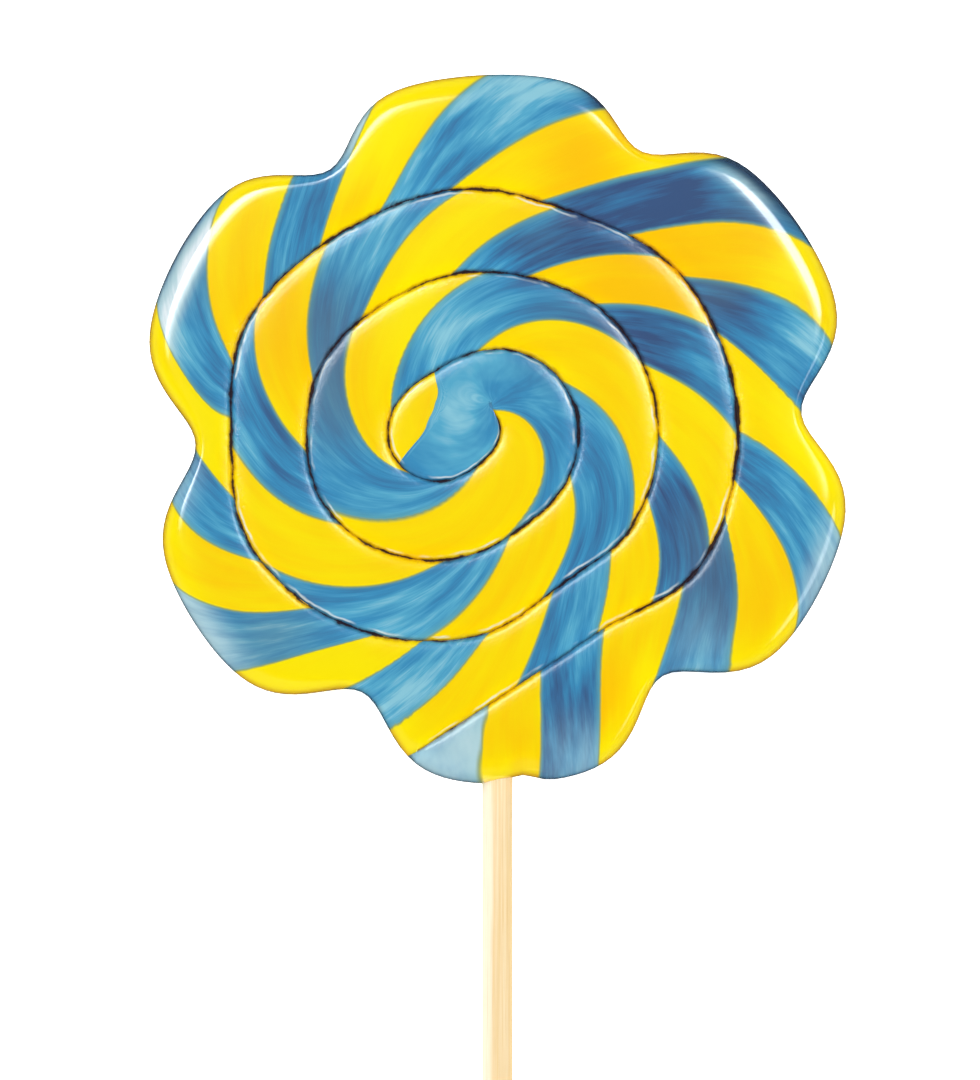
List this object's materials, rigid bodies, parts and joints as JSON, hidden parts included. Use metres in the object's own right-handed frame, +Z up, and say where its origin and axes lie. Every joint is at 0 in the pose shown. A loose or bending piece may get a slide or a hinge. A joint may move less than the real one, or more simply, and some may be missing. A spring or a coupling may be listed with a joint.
{
  "type": "swirl lollipop",
  "caption": "Flat swirl lollipop: a candy rope coiled into a disc with a scalloped rim, lying face up, with a round wooden stick set into the rim",
  "frame": {"origin": "centre of the bounding box in X and Y, at the height of the flat back that the candy lies on", "axes": "+Z up out of the shown face, +Y along the stick towards the candy, +X to the right of the shown face"},
  "size_m": [0.1012, 0.208, 0.009],
  "materials": {
    "candy": "glossy hard candy, streaked in yellow and blue",
    "stick_wood": "plain, fine straight grain"
  },
  "bodies": {
    "root": {"candy_coil": "candy", "stick": "stick_wood"}
  },
  "joints": []
}
